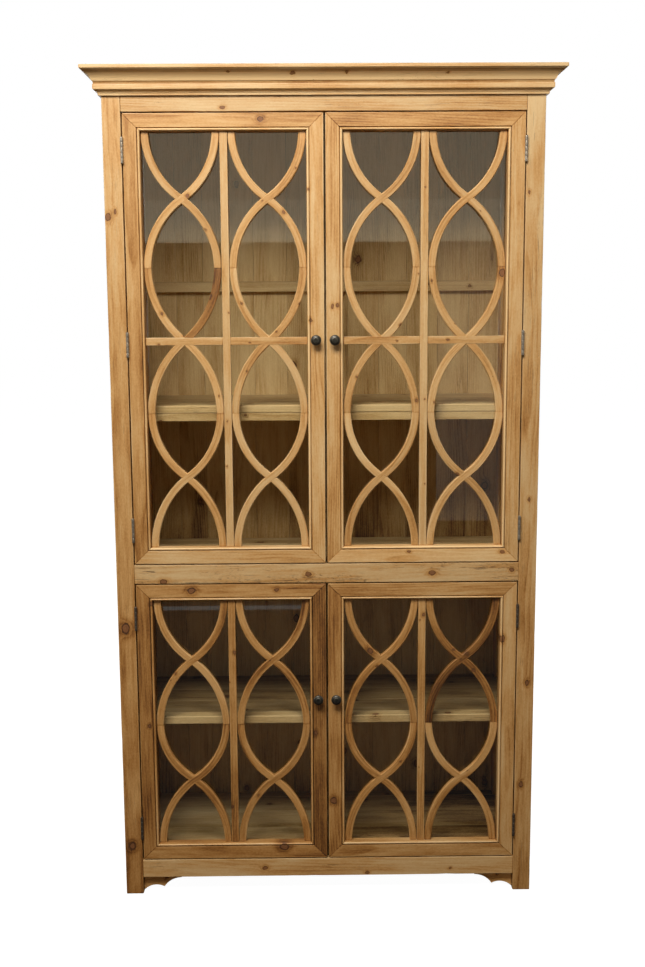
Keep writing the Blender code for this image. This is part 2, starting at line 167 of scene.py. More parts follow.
def pine(name, stops, roughness, gloss, figure):
    """Old pine: growth rings that bend round knots, fibres, stains, checks and rubbed arrises.

    It reads the wood's own coordinates, which every board stores on its points. figure is the
    strength of its streaks.
    """
    g = Graph(name)
    grain, seed, half = (g.attribute(key) for key in ("grain", "seed", "half"))
    tone, pith = (g.split(g.attribute(key)) for key in ("tone", "pith"))
    seam = g.attribute("seam", "Fac")

    def grained(along, across, detail, roughness, output="Fac"):
        """Noise in the board's own coordinates, finer across the grain than along it."""
        place = g.vector("MULTIPLY_ADD", grain, (along, across, across), seed)
        return g.noise(place, detail, roughness, output=output)

    drift = grained(2.3, 11, 2.0, 0.45, "Color")
    drift = g.vector("SUBTRACT", drift, (0.5, 0.5, 0.5))
    warped = g.vector("MULTIPLY_ADD", drift, (0.0, 0.017, 0.017), grain)

    ripple = grained(70, 110, 2.0, 0.55, "Color")
    ripple = g.vector("SUBTRACT", ripple, (0.5, 0.5, 0.5))
    near = 9.0
    swell = 0.0
    for index in range(KNOT_SLOTS):
        knot = g.split(g.attribute(f"knot{index}"))
        centre = g.node("CombineXYZ", {0: knot[0], 1: knot[1], 2: 0.0}).outputs[0]
        away = g.vector("MULTIPLY_ADD", ripple, (0.0085, 0.0085, 0.0), warped)
        away = g.vector("MULTIPLY", g.vector("SUBTRACT", away, centre), (0.75, 1.0, 0.04))
        distance = g.math("DIVIDE", g.vector("LENGTH", away), g.math("MAXIMUM", knot[2], 0.0001))
        near = g.math("MINIMUM", distance, near)
        falloff = g.math("POWER", 0.62, g.times(distance, distance))
        swell = g.math("ADD", swell, falloff)

    parts = g.split(warped)
    lean = g.math("MULTIPLY_ADD", parts[0], pith[2], pith[0])
    across = g.math("SUBTRACT", parts[1], lean)
    through = g.math("SUBTRACT", parts[2], pith[1])
    radius = g.math("SQRT", g.math("ADD", g.times(across, across), g.times(through, through)))
    rings = g.plus(g.times(radius, RINGS), swell, 3.2)
    late = g.ramp(g.math("FRACT", rings),
                  ((0.0, 0.0), (0.42, 0.12), (0.80, 0.85), (0.90, 1.0), (1.0, 0.0)))

    stain = grained(4.0, 19, 3.0, 0.55)
    streak = grained(6.0, 120, 4.0, 0.74)
    fibre = grained(26, 800, 2.0, 0.6)
    grit = grained(150, 260, 2.0, 0.6)
    stain_here = g.span(stain, 0.3, 0.7)

    depth = g.math("MULTIPLY_ADD", late, g.math("MULTIPLY_ADD", stain_here, 0.16, 0.06), tone[0])
    for part, strength in ((streak, figure), (fibre, 0.35), (grit, 0.34), (stain, 0.85)):
        depth = g.plus(depth, part, strength, 0.5)
    depth = g.math("ADD", depth, g.span(near, 0.9, 3.2, 0.24, 0.0))
    core = g.span(near, 0.80, 1.06, 1.0, 0.0)
    eye = g.ramp(g.math("FRACT", g.times(near, 2.2)), ((0.0, 0.0), (0.7, 0.2), (1.0, 0.5)))
    rim = g.times(g.span(near, 0.72, 0.95), g.span(near, 0.98, 1.22, 1.0, 0.0))
    depth = g.plus(depth, rim, 0.42)

    rims = g.split(g.vector("SUBTRACT", half, g.vector("ABSOLUTE", grain)))
    arris = g.math("MAXIMUM", rims[1], rims[2])
    patchy = grained(16, 60, 3.0, 0.6)
    rubbed = g.times(g.span(arris, 0.0004, 0.0034, 1.0, 0.0), g.span(patchy, 0.30, 0.60, 0.25, 1.0))
    depth = g.plus(depth, rubbed, -0.20)
    # Marked crests, hollows and slots turn pale: a painted highlight on crests, which are also rubbed,
    # and painted light in hollows.
    crest = g.span(seam, CREST_HIGHLIGHT, 0.3 * CREST_HIGHLIGHT, 1.0, 0.0)
    depth = g.plus(depth, crest, -0.30)
    # Darker near joints and in marked grooves: dirt along the joints, and painted shade in the joints and
    # grooves.
    near_seam = g.times(g.span(seam, GROOVE_SHADE, 0.0035, 1.0, 0.0), g.span(seam, 0.5 * CREST_HIGHLIGHT, GROOVE_SHADE))
    grime_and_shade = g.times(near_seam, g.span(patchy, 0.30, 0.75, 0.35, 1.0))
    depth = g.plus(depth, grime_and_shade, 0.34)

    slits = grained(17, 300, 3.0, 0.65)
    patch = grained(5, 28, 2.0, 0.5)
    open_here = g.times(g.span(patch, 0.42, 0.68), tone[2])
    slit = g.times(g.span(slits, 0.585, 0.635), open_here, clamp=True)
    flaws = grained(85, 330, 3.0, 0.7)
    rough_here = g.times(g.span(stain, 0.44, 0.58), g.span(tone[2], 0.55, 1.0, 0.0, 1.0))
    flaw = g.times(g.span(flaws, 0.575, 0.63), rough_here)
    slit = g.math("MAXIMUM", slit, g.times(flaw, 0.8))
    pores = grained(210, 420, 1.0, 0.5)
    speck = g.times(g.span(pores, 0.71, 0.76), g.span(patch, 0.45, 0.65, 0.0, 0.6))

    colour = g.ramp(g.math("ADD", depth, 0.0, clamp=True), stops)
    ringed = g.math("MULTIPLY_ADD", eye, 0.9, g.times(rim, 0.85), clamp=True)
    heart = g.mix(ringed, KNOT_RED, UMBER)
    colour = g.mix(g.times(core, 0.88), colour, heart)
    colour = g.mix(g.times(slit, 0.80), colour, CHECK_DIRT)
    colour = g.mix(speck, colour, PORE_DIRT)
    brightness = g.node("CombineXYZ", {0: tone[1], 1: tone[1], 2: tone[1]}).outputs[0]
    colour = g.mix(1.0, colour, brightness, "MULTIPLY")

    sheen = g.plus(roughness, fibre, 0.35, 0.5)
    sheen = g.plus(sheen, late, -0.07)
    sheen = g.math("MULTIPLY_ADD", g.math("ADD", slit, core), 0.12, sheen, clamp=True)
    height = g.times(fibre, 0.55)
    for part, strength in ((late, 0.30), (streak, 0.5), (slit, -1.6), (rim, -0.7)):
        height = g.plus(height, part, strength)
    relief = g.node("Bump", {"Strength": 0.45, "Distance": 0.0006, "Height": height}).outputs[0]
    return g.principled({"Base Color": colour, "Roughness": sheen, "Normal": relief,
                         "Specular IOR Level": gloss, "IOR": 1.45})


def old_metal(name, dark, light, roughness, rub, low_down=1.0):
    """Browned metal, rubbed bright on its edges. Below 1, low_down rusts what is near the floor."""
    g = Graph(name)
    place = g.node("TexCoord").outputs["Object"]
    cloud = g.noise(place, 4.0, 0.6, 160.0)
    speckle = g.noise(place, 2.0, 0.6, 900.0)
    worn = g.plus(g.times(cloud, 0.7), speckle, 0.5)
    between = tuple((a + b) / 2 for a, b in zip(dark, light))
    colour = g.ramp(worn, ((0.35, dark), (0.62, between), (0.85, light)))
    edges = g.span(g.node("NewGeometry").outputs["Pointiness"], 0.50, 0.56)
    colour = g.mix(g.times(edges, rub), colour, tuple(min(1.0, c * 2.6) for c in light))
    rust = g.span(g.split(place)[2], 0.90, 1.05, 1.0 - low_down, 0.0)
    colour = g.mix(rust, colour, RUST)
    sheen = g.math("MULTIPLY_ADD", g.math("SUBTRACT", cloud, 0.5), 0.5, roughness, clamp=True)
    relief = g.node("Bump", {"Strength": 0.35, "Distance": 0.0004, "Height": worn}).outputs[0]
    return g.principled({"Base Color": colour, "Roughness": sheen, "Normal": relief, "Metallic": 0.85})


def window_glass(name):
    """Thin clear glass: it lets light through and mirrors a little more at a slant."""
    g = Graph(name)
    facing = g.node("LayerWeight", {"Blend": 0.5}).outputs["Facing"]
    place = g.node("TexCoord").outputs["Object"]
    share = g.math("MULTIPLY_ADD", g.math("POWER", facing, 5.0), 0.80, 0.045, clamp=True)
    smear = g.noise(g.vector("MULTIPLY", place, (6.0, 6.0, 2.0)), 4.0, 0.6)
    waves = g.noise(g.vector("MULTIPLY", place, (9.0, 9.0, 5.0)), 1.0, 0.4)
    relief = g.node("Bump", {"Strength": 0.02, "Distance": 0.002, "Height": waves}).outputs[0]
    mirror = g.node("BsdfAnisotropic", {"Color": (0.96, 0.98, 0.97, 1.0), "Normal": relief,
                                        "Roughness": g.span(smear, 0.35, 0.75, 0.008, 0.035)})
    clear = g.node("BsdfTransparent", {"Color": (0.955, 0.965, 0.95, 1.0)})
    both = g.node("MixShader", {0: share, 1: clear.outputs[0], 2: mirror.outputs[0]})
    g.output(both.outputs[0])
    return g.material


PALE = (0.665, 0.452, 0.212)
HONEY = (0.56, 0.305, 0.102)
AMBER = (0.395, 0.178, 0.043)
BROWN = (0.20, 0.076, 0.017)
UMBER = (0.070, 0.028, 0.011)
KNOT_RED = (0.235, 0.092, 0.032)
CHECK_DIRT = (0.060, 0.034, 0.014)
PORE_DIRT = (0.16, 0.085, 0.035)
RUST = (0.050, 0.026, 0.012)
WAXED = ((0.0, PALE), (0.34, HONEY), (0.60, AMBER), (0.82, BROWN), (1.0, UMBER))
UNWAXED = ((0.0, (0.66, 0.47, 0.235)), (0.34, (0.55, 0.365, 0.160)), (0.60, (0.42, 0.250, 0.090)),
           (0.82, (0.22, 0.112, 0.036)), (1.0, UMBER))
MATERIALS = {
    "old_pine": pine("old_pine", WAXED, 0.46, 0.38, 0.62),
    "inside_pine": pine("inside_pine", UNWAXED, 0.62, 0.25, 0.42),
    "dark_bronze": old_metal("dark_bronze", (0.022, 0.020, 0.017), (0.085, 0.078, 0.062), 0.42, 0.5),
    "aged_steel": old_metal("aged_steel", (0.085, 0.070, 0.052), (0.26, 0.225, 0.175), 0.45, 0.4, 0.35),
}
GLASS = window_glass("clear_glass")


# ---- Boards ----

def lerp(a, b, t):
    return a + (b - a) * t


def arc(centre, radius, start, end, steps):
    """Points along an arc, from one angle to another."""
    angles = [lerp(start, end, i / steps) for i in range(steps + 1)]
    return [(centre[0] + radius * math.cos(a), centre[1] + radius * math.sin(a)) for a in angles]


def arc_through(first, middle, last, steps):
    """Points along the arc through three points."""
    (ax, ay), (bx, by), (cx, cy) = first, middle, last
    d = 2 * (ax * (by - cy) + bx * (cy - ay) + cx * (ay - by))
    a2, b2, c2 = ax * ax + ay * ay, bx * bx + by * by, cx * cx + cy * cy
    centre = ((a2 * (by - cy) + b2 * (cy - ay) + c2 * (ay - by)) / d,
              (a2 * (cx - bx) + b2 * (ax - cx) + c2 * (bx - ax)) / d)
    start = math.atan2(ay - centre[1], ax - centre[0])
    end = math.atan2(cy - centre[1], cx - centre[0])
    return arc(centre, math.dist(centre, first), start, end, steps)


def flat_stretch(length, spacing=0.028, ease=0.0008):
    """Where a board's rings of points lie along it, from 0 to 1, close together at its eased ends."""
    count = max(2, round(length / spacing))
    inner = [ease / length + (1 - 2 * ease / length) * i / count for i in range(count + 1)]
    return [0.0] + inner + [1.0]


def rounded(width, depth, radius, steps=2, marks=()):
    """Cross-section of a board with worn round arrises, about its own middle.

    marks gives some of its corners a mark. Corners count from 0 at (+v, +w), anticlockwise.
    """
    outline = []
    for corner, (sign_v, sign_w) in enumerate(((1, 1), (-1, 1), (-1, -1), (1, -1))):
        cv, cw = sign_v * (width / 2 - radius), sign_w * (depth / 2 - radius)
        first, last = math.tau * corner / 4, math.tau * (corner + 1) / 4
        turn = arc((cv, cw), radius, first, last, steps)
        if corner in marks:
            (v0, w0), (v1, w1) = turn[0], turn[-1]
            before = (v0 + MARK_REACH * math.sin(first), w0 - MARK_REACH * math.cos(first))
            after = (v1 - MARK_REACH * math.sin(last), w1 + MARK_REACH * math.cos(last))
            turn = [before] + [(v, w, marks[corner]) for v, w in turn] + [after]
        outline += turn
    return outline


class Timber:
    """One wooden piece under construction, of one or more boards.

    shade darkens its wood, bright multiplies its colour, and checks opens cracks in it.
    A board has its own axes: u along the grain, v across its face and w through it.
    """

    def __init__(self, name, shade=0.0, bright=1.0, checks=0.0):
        self.name = name
        self.dice = random.Random(name)
        self.shade, self.bright, self.checks = shade, bright, checks
        self.points, self.faces = [], []
        self.data = {key: [] for key in ("grain", "half", "seed", "tone", "pith")}
        self.data.update({f"knot{i}": [] for i in range(KNOT_SLOTS)})
        self.seams = []

    def sweep(self, section, rings, half, knots=(), wear=0.0006, shade=None, bright=None,
              fade=(0.0, 0.0), foot=(0.0, 1.0)):
        """Joins rings of points. A ring turns (v, w) into a place, u and the distance to an end.

        half is half the board's size. fade adds shade at its first and last ends, foot only near
        the first, as (shade, reach). wear is the depth of the chips along its arrises.
        """
        dice = self.dice
        seed = Vector((dice.uniform(-50, 50), dice.uniform(-50, 50), dice.uniform(-50, 50)))
        base = 0.30 + (self.shade if shade is None else shade) + dice.uniform(-0.04, 0.04)
        lightness = (self.bright if bright is None else bright) * dice.uniform(0.96, 1.04)
        pith = (dice.uniform(-1.1, 1.1) * half[1] + dice.choice((-1, 1)) * dice.uniform(0.0, 0.035),
                half[2] + dice.uniform(0.012, 0.06), dice.uniform(-0.05, 0.05))
        first = len(self.points)
        _, hv, hw = half
        for number, ring in enumerate(rings):
            squeeze = 0.0006 if number in (0, len(rings) - 1) else 0.0
            for v, w, *mark in section:
                corner = min(1.0, abs(v) / hv) * min(1.0, abs(w) / hw)
                _, u, _ = ring(v, w)
                chip = noise.noise(Vector((u * 23, v * 60, w * 60)) + seed)
                dent = noise.noise(Vector((u * 7, v * 31, w * 31)) - seed)
                chipped = (corner ** 6) * (0.35 + 1.9 * max(0.0, chip - 0.12))
                push = squeeze + wear * (0.35 * max(0.0, dent) + chipped)
                vv = v - math.copysign(min(push, abs(v) * 0.5), v)
                ww = w - math.copysign(min(push, abs(w) * 0.5), w)
                place, u, seam = ring(vv, ww)
                self.points.append(place)
                self.seams.append(mark[0] if mark else seam)
                darker = lerp(*fade, number / (len(rings) - 1))
                darker += foot[0] * max(0.0, 1 - (u + half[0]) / foot[1])
                # A marked point's brightness carries its painted shade or painted light.
                marked = MARK_PAINTED_LIGHT[mark[0]] if mark else 1.0
                values = {"grain": (u, vv, ww), "half": half, "seed": seed, "pith": pith,
                          "tone": (base + darker, lightness * marked, self.checks)}
                for i in range(KNOT_SLOTS):
                    values[f"knot{i}"] = knots[i] if i < len(knots) else (0.0, 0.0, 0.0)
                for key, value in values.items():
                    self.data[key].extend(value)
        size = len(section)
        for r in range(len(rings) - 1):
            for i in range(size):
                a = first + r * size + i
                b = first + r * size + (i + 1) % size
                self.faces.append((a, b, b + size, a + size))
        last = first + (len(rings) - 1) * size
        self.faces.append(tuple(range(first + size - 1, first - 1, -1)))
        self.faces.append(tuple(range(last, last + size)))

    def board(self, low, high, along, wide, radius=0.0014, **more):
        """A board that fills a box. along names the axis of its length, wide that of its face."""
        low, high = Vector(low), Vector(high)
        size = high - low
        axes = {"x": X, "y": Y, "z": Z}
        u_dir, v_dir = axes[along], axes[wide]
        w_dir = axes[({"x", "y", "z"} - {along, wide}).pop()]
        self.straight((low + high) / 2, u_dir, v_dir, w_dir, size.dot(u_dir), size.dot(v_dir),
                      size.dot(w_dir), radius, **more)

    def straight(self, centre, u_dir, v_dir, w_dir, length, width, depth, radius=0.0014, knots=(),
                 places=(), cuts=(0.0, 0.0), section=None, spacing=0.028, **more):
        """A straight board. A cut of 1 is a 45 degree mitre that shortens it towards +v.

        knots are (u, v, radius). places are knots on the cabinet's front, as (x, z, radius).
        """
        half = (length / 2, width / 2, depth / 2)
        knots = list(knots)
        for x, z, reach in places:
            offset = Vector((x, centre.y, z)) - centre
            knots.append((offset.dot(u_dir), offset.dot(v_dir), reach))

        def ring_at(t):
            def ring(v, w):
                reach = max(0.0, v + half[1])
                start = -half[0] + cuts[0] * reach
                end = half[0] - cuts[1] * reach
                u = lerp(start, end, t)
                return centre + u_dir * u + v_dir * v + w_dir * w, u, min(u - start, end - u)
            return ring

        rings = [ring_at(t) for t in flat_stretch(length, spacing)]
        self.sweep(section or rounded(width, depth, radius), rings, half, knots, **more)

    def curved(self, line, y_middle, width, depth, knots):
        """A bar sawn to a curve in the door's plane. line is its centre line, in (x, z)."""
        lengths = [0.0, *accumulate(math.dist(a, b) for a, b in zip(line, line[1:]))]
        total = lengths[-1]
        half = (total / 2, width / 2, depth / 2)

        def ring_at(i):
            before, after = line[max(i - 1, 0)], line[min(i + 1, len(line) - 1)]
            along = Vector((after[0] - before[0], 0, after[1] - before[1])).normalized()
            if i in (0, len(line) - 1) and abs(along.z) > 0.85:
                along = Vector((0, 0, math.copysign(1, along.z)))
            out = Vector((-along.z, 0, along.x))
            middle = Vector((line[i][0], y_middle, line[i][1]))
            u = lengths[i] - total / 2

            def ring(v, w):
                return middle + out * v + Y * w, u, min(lengths[i], total - lengths[i])
            return ring

        rings = [ring_at(i) for i in range(len(line))]
        self.sweep(rounded(width, depth, 0.0021, 1), rings, half, knots)

    def finish(self, body, *nodes, slot="old_pine"):
        mesh = new_mesh(self.name, self.points, self.faces)
        for key, values in self.data.items():
            mesh.attributes.new(key, "FLOAT_VECTOR", "POINT").data.foreach_set("vector", values)
        mesh.attributes.new("seam", "FLOAT", "POINT").data.foreach_set("value", self.seams)
        place_mesh(self.name, mesh, body, nodes, slot)


def new_mesh(name, points, faces):
    mesh = bpy.data.meshes.new(name)
    mesh.from_pydata(points, [], faces)
    return mesh


def new_object(name, data):
    made = bpy.data.objects.new(name, data)
    bpy.context.scene.collection.objects.link(made)
    return made


def place_mesh(name, mesh, body, nodes, slot, smooth_angle=38.0, weighted=True):
    """Makes a piece that rides on a body of the frame, and stands in for its nodes."""
    made = bmesh.new()
    made.from_mesh(mesh)
    bmesh.ops.recalc_face_normals(made, faces=made.faces)
    made.to_mesh(mesh)
    made.free()
    mesh.materials.append(MATERIALS[slot])
    mesh.shade_smooth()
    mesh.set_sharp_from_angle(angle=math.radians(smooth_angle))
    piece = new_object(name, mesh)
    if weighted:
        even = piece.modifiers.new("even_normals", "WEIGHTED_NORMAL")
        even.keep_sharp = True
    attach(piece, body)
    if nodes:
        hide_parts(*nodes)


def scatter(dice, length, width, count, biggest):
    """Random knots for a board, as (along, across, radius) from its middle."""
    return [(dice.uniform(-0.47, 0.47) * length, dice.uniform(-0.42, 0.42) * width,
             biggest * dice.uniform(0.35, 1.0)) for _ in range(count)]


# ---- Carcass ----

# Knots that show on the front: x, z and radius
POST_KNOTS = {
    "front_post_left": ((-0.592, 1.969, 0.0075), (-0.570, 1.984, 0.0045),
                        (-0.581, 0.813, 0.0115), (-0.578, 0.150, 0.0080)),
    "front_post_right": ((0.560, 2.030, 0.0035), (0.572, 1.180, 0.0040),
                         (0.583, 0.640, 0.0055), (0.566, 0.330, 0.0060)),
}
# The shade added at the foot and at the top
POST_FADE = {"front_post_left": (0.29, -0.12), "front_post_right": (0.13, -0.24)}


def posts():
    for name in ("front_post_left", "front_post_right", "rear_post_left", "rear_post_right"):
        low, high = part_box(name)
        front = name in POST_KNOTS
        post = Timber(name, checks=0.5)
        spots = () if front else scatter(post.dice, high[2] - low[2], 0.05, KNOT_SLOTS, 0.009)
        post.board(low, high, "z", "x", 0.0018, knots=spots, places=POST_KNOTS.get(name, ()),
                   wear=0.0009, fade=POST_FADE.get(name, (0.08, 0.0)))
        post.finish("cabinet", name)


RAIL_KNOTS = {
    "top": ((-0.275, 2.258, 0.0045), (0.210, 2.292, 0.0030)),
    "middle": ((-0.053, 0.970, 0.0065), (0.301, 0.968, 0.0072), (0.530, 0.977, 0.0055),
               (-0.466, 0.947, 0.0075)),
    "bottom": ((-0.187, 0.077, 0.0060), (0.362, 0.071, 0.0030), (0.116, 0.062, 0.0045)),
}
# Shade, brightness and checks
RAIL_LOOK = {"top": (-0.15, 0.92, 0.35), "middle": (-0.15, 0.94, 1.0), "bottom": (-0.12, 1.04, 0.6)}


def face_rails():
    for place, (shade, bright, checks) in RAIL_LOOK.items():
        name = "face_rail_" + place
        rail = Timber(name, shade, bright, checks)
        low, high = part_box(name)
        lap = RAIL_LAP if place == "bottom" else 0.0
        rail.board(low, (high[0], high[1] + lap, high[2]), "x", "z", 0.0016,
                   places=RAIL_KNOTS[place], wear=0.0010)
        rail.finish("cabinet", name)


def planks(timber, low, high, along, across, count, groove, knots_each, biggest, **more):
    """Boards side by side that fill a box. groove is half the joint between them."""
    axis = "xyz".index(across)
    edges = [0.0, *accumulate(timber.dice.uniform(0.85, 1.15) for _ in range(count))]
    whole = high[axis] - low[axis]
    length = high["xyz".index(along)] - low["xyz".index(along)]
    for i in range(count):
        a, b = list(low), list(high)
        a[axis] = low[axis] + whole * edges[i] / edges[-1] + (groove if i else 0.0)
        b[axis] = low[axis] + whole * edges[i + 1] / edges[-1] - (groove if i < count - 1 else 0.0)
        width, number = b[axis] - a[axis], timber.dice.randint(0, knots_each)
        spots = scatter(timber.dice, length, width, number, biggest)
        shade = timber.shade + timber.dice.uniform(-0.07, 0.07)
        timber.board(a, b, along, across, 0.0012, knots=spots, shade=shade, **more)
        if i:
            tongue(timber, a, b, along, axis)


def tongue(timber, low, high, along, across):
    """The tongue that closes the joint at a board's lower edge."""
    length = "xyz".index(along)
    thin = ({0, 1, 2} - {length, across}).pop()
    a, b = list(low), list(high)
    a[across], b[across] = low[across] - 0.004, low[across] + 0.004
    third = (high[thin] - low[thin]) / 3
    a[thin], b[thin] = low[thin] + third, high[thin] - third
    a[length] += 0.001
    b[length] -= 0.001
    timber.board(a, b, along, "xyz"[across], 0.0003, wear=0.0, spacing=0.5, shade=0.35)


def side_panels():
    for side in SIDES:
        name = "side_panel_" + side
        panel = Timber(name, 0.0, 1.0, 0.4)
        planks(panel, *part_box(name), "z", "y", 4, 0.0004, 3, 0.010, spacing=0.04)
        panel.finish("cabinet", name)


def top_board():
    lid = Timber("top_board", 0.05, 0.95, 0.5)
    planks(lid, *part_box("top_board"), "x", "y", 4, 0.0, 3, 0.010, spacing=0.04)
    lid.finish("cabinet", "top_board")


# Shade and brightness, with painted shade on the two shelves' tops; the front strip's brightness, painted
# light on their lit front edges; and the shade added at the left and right ends, painted shadow on the
# bottom deck's right end
SHELF_LOOK = (
    ("deck_middle", 0.0, 1.0, 1.0, (0.0, 0.0)),
    ("deck_bottom", -0.05, 0.95, 0.95, (-0.10, 0.60)),
    ("upper_shelf", 0.0, 0.84, 1.30, (0.0, 0.0)),
    ("lower_shelf", 0.24, 0.80, 1.28, (0.0, 0.0)),
)


def shelves():
    """Decks and shelves, each of several boards; a shelf also has a strip along its front edge."""
    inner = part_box("front_post_right")[0][0] - FITTING
    panel_front, panel_back = (corner[1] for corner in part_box("side_panel_left"))
    for name, shade, bright, front_painted_light, fade in SHELF_LOOK:
        low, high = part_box(name)
        shelf = Timber(name, shade, bright, 0.6)
        notched = low[1] < panel_front - 0.002
        stops = [low[1], panel_front if notched else low[1] + LIPPING]
        span = panel_back - stops[1]
        stops += [stops[1] + span * 0.34, stops[1] + span * 0.68, panel_back, high[1]]
        for i, (a, b) in enumerate(zip(stops, stops[1:])):
            narrow = (notched and i == 0) or i == len(stops) - 2
            wide = inner if narrow else high[0]
            spots = scatter(shelf.dice, 1.0, b - a, shelf.dice.randint(1, 3), 0.008)
            front = not notched and i == 0
            # The front strip's top arris gets a painted highlight and its lower arris a painted shade
            # line.
            marks = {1: CREST_HIGHLIGHT, 2: GROOVE_SHADE} if front else ()
            shelf.board((-wide, a, low[2]), (wide, b, high[2]), "x", "y", knots=spots,
                        section=rounded(b - a, high[2] - low[2], 0.0010, 2, marks),
                        shade=(0.0 if front else shade) + shelf.dice.uniform(-0.05, 0.05), spacing=0.04,
                        bright=front_painted_light if front else bright, fade=fade)
            if i:
                tongue(shelf, (-inner, a, low[2]), (inner, b, high[2]), "x", 1)
        shelf.finish("cabinet", name, slot="inside_pine")


def inside_rails():
    for name, shade, bright in (("upper_shelf_rail", 0.04, 1.2), ("back_rail", 0.0, 1.1)):
        low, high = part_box(name)
        rail = Timber(name, shade, bright, 0.3)
        # Each rail's top front arris carries a painted shade line.
        rail.board(low, high, "x", "z", knots=scatter(rail.dice, 1.0, 0.02, 2, 0.004),
                   section=rounded(high[2] - low[2], high[1] - low[1], 0.0016, 2, {3: GROOVE_SHADE}))
        rail.finish("cabinet", name, slot="inside_pine")


def back_boards():
    for name in ("back_boards_upper", "back_boards_lower"):
        back = Timber(name, 0.03, 1.12, 0.5)
        # foot darkens the lowest 0.3 m of every board: painted shade below the shelves.
        planks(back, *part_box(name), "z", "x", 12, 0.0003, 2, 0.009, spacing=0.05, foot=(0.38, 0.30))
        back.finish("cabinet", name, slot="inside_pine")


def crown():
    """The cornice: fascia, cove, quirk, fillet and small cove, mitred at the front corners."""
    low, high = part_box("crown_front")
    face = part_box("front_post_left")[0][1]
    overhang, height = face - low[1], high[2] - low[2]
    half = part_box("front_post_right")[1][0]
    section = [(FITTING, 0.0004), (0.0007, 0.0), (overhang - 0.0009, 0.0),
               (overhang - 0.0003, 0.0003), (overhang, 0.0009), (overhang, 0.0086),
               (overhang - 0.0003, 0.0092), (overhang - 0.0009, 0.0096)]
    cove = arc_through((0.0430, 0.0141), (0.0289, 0.0237), (0.0200, 0.0378), 12)
    # The cove's top points carry painted shade under the fascia, its lower points painted light.
    section += [(*p, GROOVE_SHADE) for p in cove[:2]] + cove[2:4] + [(*p, PAINTED_LIT_HOLLOW) for p in cove[4:]]
    # The quirk above the fillet and the top of the small cove carry painted shade.
    section += [(0.0192, 0.0384, GROOVE_SHADE), (0.0172, 0.0408, GROOVE_SHADE), (0.0168, 0.0452, GROOVE_SHADE),
                (0.0172, 0.0461, GROOVE_SHADE), (0.0181, 0.0466), (0.0185, 0.0476), (0.0185, 0.0582),
                (0.0180, 0.0591), (0.0160, 0.0608, GROOVE_SHADE)]
    hollow = arc_through((0.0145, 0.0617), (0.0100, 0.0636), (0.0075, 0.0672), 8)
    # The small cove's lower points carry painted light.
    section += hollow[:4] + [(*p, PAINTED_LIT_HOLLOW) for p in hollow[4:]]
    section += [(0.0068, 0.0675), (0.0065, 0.0680), (0.0065, height - 0.0005), (0.0060, height),
                (FITTING, height)]
    middle = (overhang / 2, height / 2)
    local = [(v - middle[0], w - middle[1], *mark) for v, w, *mark in section]
    lengths = {"crown_front": (X, -Y, Vector((0, face, high[2]))),
               "crown_left": (Y, -X, Vector((-half, 0, high[2]))),
               "crown_right": (Y, X, Vector((half, 0, high[2])))}
    knots = {"crown_front": ((-0.084, 0.008, 0.0050), (-0.256, 0.011, 0.0038),
                             (0.060, 0.010, 0.0030), (0.330, 0.006, 0.0025))}
    for name, (u_dir, v_dir, origin) in lengths.items():
        moulding = Timber(name, -0.22, 0.98, 0.2)
        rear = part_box(name)[1][1]
        across = name == "crown_front"

        def ring_at(t):
            def ring(v, w):
                reach = v + middle[0]
                start = (-half if across else face) - reach + FITTING
                end = half + reach - FITTING if across else rear
                u = lerp(start, end, t)
                seam = min(u - start, end - u) if across else u - start
                return origin + u_dir * u + v_dir * reach - Z * (w + middle[1]), u, seam
            return ring

        rings = [ring_at(t) for t in flat_stretch(1.3 if across else 0.5, 0.03)]
        moulding.sweep(local, rings, (0.65, *middle), knots.get(name, ()), wear=0.0003)
        moulding.finish("cabinet", name)


def foot_brackets():
    """Small brackets between the front feet and the rail, with a round and a long scallop."""
    toe, apex, cusp, tip = (0.0, 0.002), (0.0405, 0.0175), (0.0595, 0.0115), (0.1110, 0.0400)
    width, rise = tip[0] - cusp[0], tip[1] - cusp[1]
    radius = (width * width + rise * rise) / (2 * rise)
    start = math.pi - math.asin((radius - rise) / radius)
    scoop = arc((tip[0], tip[1] - radius), radius, start, math.pi / 2, 16)
    lower = arc_through(toe, apex, cusp, 16) + scoop[1:]
    for side, sign in SIDES.items():
        name = "foot_bracket_" + side
        low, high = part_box(name)
        inner = high[0] if sign > 0 else low[0]
        # Their brightness of 1.25 is painted light that offsets the shade under the rail.
        piece = Timber(name, 0.0, 1.25, 0.4)
        half = ((high[0] - low[0]) / 2, (high[2] - low[2]) / 2, (high[1] - low[1]) / 2)
        centre = (Vector(low) + Vector(high)) / 2
        ease = 0.0009

        def ring_at(point, top):
            def ring(v, w):
                x = inner - sign * point[0]
                z = lerp(point[1], top, (v / half[1] + 1) / 2)
                place = Vector((x, centre.y + w, z))
                return place, x - centre.x, 1.0
            return ring

        v, w = half[1:]
        section = [(-v, -w + ease), (-v + ease, -w), (v - ease, -w), (v, -w + ease),
                   (v, w - ease), (v - ease, w), (-v + ease, w), (-v, w - ease)]
        piece.sweep(section, [ring_at(p, high[2]) for p in lower], half, ((0.012, 0.006, 0.004),),
                    wear=0.0002)
        piece.finish("cabinet", name)


# ---- Doors ----

def sway(side, amplitude, start, crossing, end):
    """Centre line of a bar that starts on one side, crosses the middle and ends on the other."""
    points = []
    for sign, level, height in ((side, start, start - crossing), (-side, end, end - crossing)):
        radius = (height * height + amplitude * amplitude) / (2 * amplitude)
        bend = arc((amplitude - radius, 0), radius, 0, math.asin(abs(height) / radius), CURVE_STEPS)
        half = [(sign * x, level - math.copysign(z, height)) for x, z in bend]
        points += half if sign == side else half[-2::-1]
    return points


